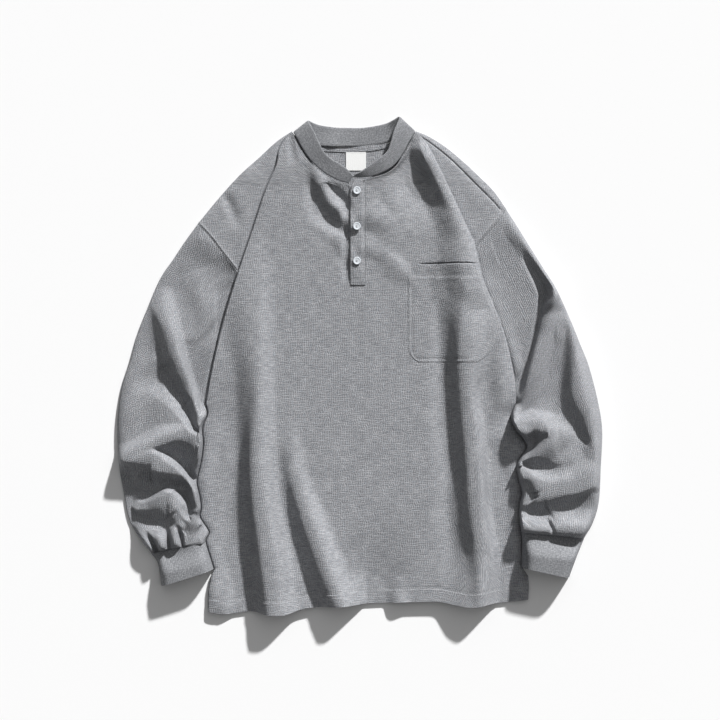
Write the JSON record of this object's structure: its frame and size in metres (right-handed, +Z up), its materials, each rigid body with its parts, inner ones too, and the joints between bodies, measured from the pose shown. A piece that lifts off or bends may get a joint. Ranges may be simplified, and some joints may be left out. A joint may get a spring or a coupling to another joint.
{
  "type": "henley shirt",
  "caption": "Long-sleeved henley shirt in marl waffle knit, laid flat, with a rib collar and cuffs, a buttoned placket and a chest pocket.",
  "frame": {"origin": "centre of the box that the laid shirt fills, on the table plane", "axes": "+Z up from the table, +Y from the hem to the collar, +X across the chest to the side with the pocket"},
  "size_m": [0.727, 0.744, 0.0354],
  "materials": {
    "knit": "grey marl waffle knit, matt",
    "rib": "grey marl fine rib knit, matt",
    "label": "smooth white woven label, blank",
    "button": "satin off-white shirt button"
  },
  "bodies": {
    "root": {"front": "knit", "back": "knit", "sleeve_left": "knit", "sleeve_right": "knit", "cuff_left": "rib", "cuff_right": "rib", "collar": "rib", "placket_under": "knit", "placket_upper": "knit", "pocket": "knit", "neck_label": "label", "neck_tape": "knit", "button_1": "button", "button_2": "button", "button_3": "button"}
  },
  "joints": []
}
